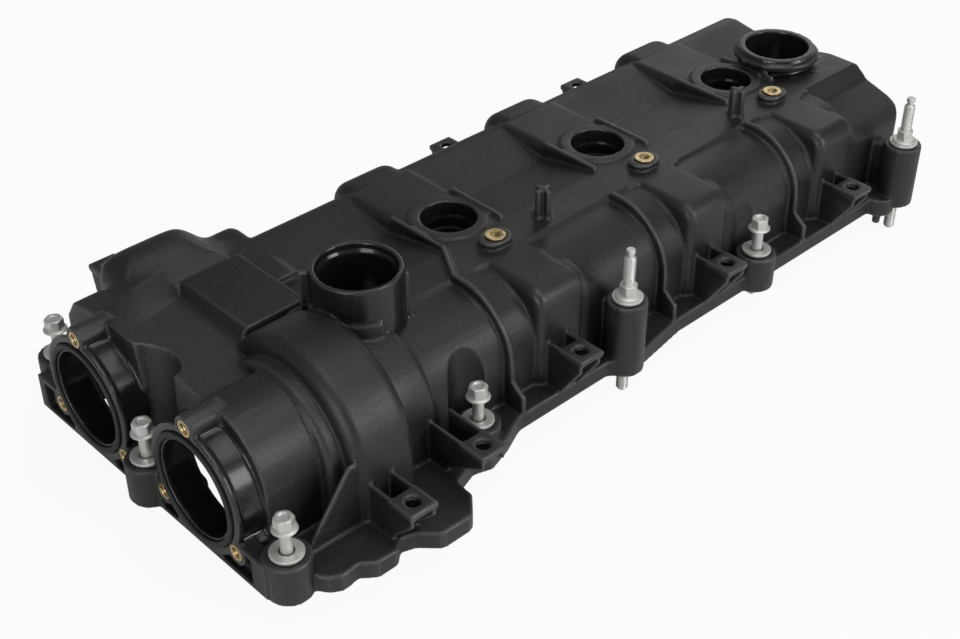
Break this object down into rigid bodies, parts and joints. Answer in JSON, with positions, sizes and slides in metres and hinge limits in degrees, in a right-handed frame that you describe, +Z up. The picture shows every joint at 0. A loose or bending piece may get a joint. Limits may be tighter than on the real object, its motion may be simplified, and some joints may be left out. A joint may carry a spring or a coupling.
{
  "type": "engine valve cover",
  "caption": "Long black moulded valve cover with coil deck, cam domes, round front ports, filler neck, cap port and captive bolts and studs.",
  "frame": {"origin": "middle of the base, level with the tips of the two studs, 14 mm below the gasket plane", "axes": "+X along the cam shafts from the two ports to the oil cap end, +Z up out of the engine, -Y towards the side with the two studs"},
  "size_m": [0.4876, 0.2212, 0.102],
  "materials": {
    "moulding": "fine grained black nylon, semi matt",
    "rubber": "black moulded rubber",
    "brass": "plain turned brass",
    "steel": "zinc plated steel"
  },
  "bodies": {
    "cover": {"cover": "moulding", "baffle": "moulding", "gasket": "rubber", "near_port_seal": "rubber", "far_port_seal": "rubber", "port_inserts": "brass", "coil_inserts": "brass", "baffle_screws": "steel", "well_seal_1": "rubber", "well_ring_1": "steel", "well_seal_2": "rubber", "well_ring_2": "steel", "well_seal_3": "rubber", "well_ring_3": "steel", "front_near_bolt_sleeve": "steel", "front_near_bolt_grommet": "rubber", "front_middle_bolt_sleeve": "steel", "front_middle_bolt_grommet": "rubber", "front_far_bolt_sleeve": "steel", "front_far_bolt_grommet": "rubber", "side_front_bolt_sleeve": "steel", "side_front_bolt_grommet": "rubber", "side_back_bolt_sleeve": "steel", "side_back_bolt_grommet": "rubber", "far_front_bolt_sleeve": "steel", "far_front_bolt_grommet": "rubber", "far_back_bolt_sleeve": "steel", "far_back_bolt_grommet": "rubber", "front_stud_sleeve": "steel", "front_stud_grommet": "rubber", "back_stud_sleeve": "steel", "back_stud_grommet": "rubber"},
    "front_near_bolt": {"front_near_bolt": "steel"},
    "front_middle_bolt": {"front_middle_bolt": "steel"},
    "front_far_bolt": {"front_far_bolt": "steel"},
    "side_front_bolt": {"side_front_bolt": "steel"},
    "side_back_bolt": {"side_back_bolt": "steel"},
    "far_front_bolt": {"far_front_bolt": "steel"},
    "far_back_bolt": {"far_back_bolt": "steel"},
    "front_stud": {"front_stud": "steel"},
    "back_stud": {"back_stud": "steel"}
  },
  "joints": [
    {"name": "front_near_bolt_drop", "type": "slide", "parent": "cover", "child": "front_near_bolt", "axis": [0, 0, 1], "range_m": [-0.012, 0]},
    {"name": "front_middle_bolt_drop", "type": "slide", "parent": "cover", "child": "front_middle_bolt", "axis": [0, 0, 1], "range_m": [-0.012, 0]},
    {"name": "front_far_bolt_drop", "type": "slide", "parent": "cover", "child": "front_far_bolt", "axis": [0, 0, 1], "range_m": [-0.012, 0]},
    {"name": "side_front_bolt_drop", "type": "slide", "parent": "cover", "child": "side_front_bolt", "axis": [0, 0, 1], "range_m": [-0.012, 0]},
    {"name": "side_back_bolt_drop", "type": "slide", "parent": "cover", "child": "side_back_bolt", "axis": [0, 0, 1], "range_m": [-0.012, 0]},
    {"name": "far_front_bolt_drop", "type": "slide", "parent": "cover", "child": "far_front_bolt", "axis": [0, 0, 1], "range_m": [-0.012, 0]},
    {"name": "far_back_bolt_drop", "type": "slide", "parent": "cover", "child": "far_back_bolt", "axis": [0, 0, 1], "range_m": [-0.012, 0]},
    {"name": "front_stud_lift", "type": "slide", "parent": "cover", "child": "front_stud", "axis": [0, 0, 1], "range_m": [0, 0.012]},
    {"name": "back_stud_lift", "type": "slide", "parent": "cover", "child": "back_stud", "axis": [0, 0, 1], "range_m": [0, 0.012]}
  ]
}
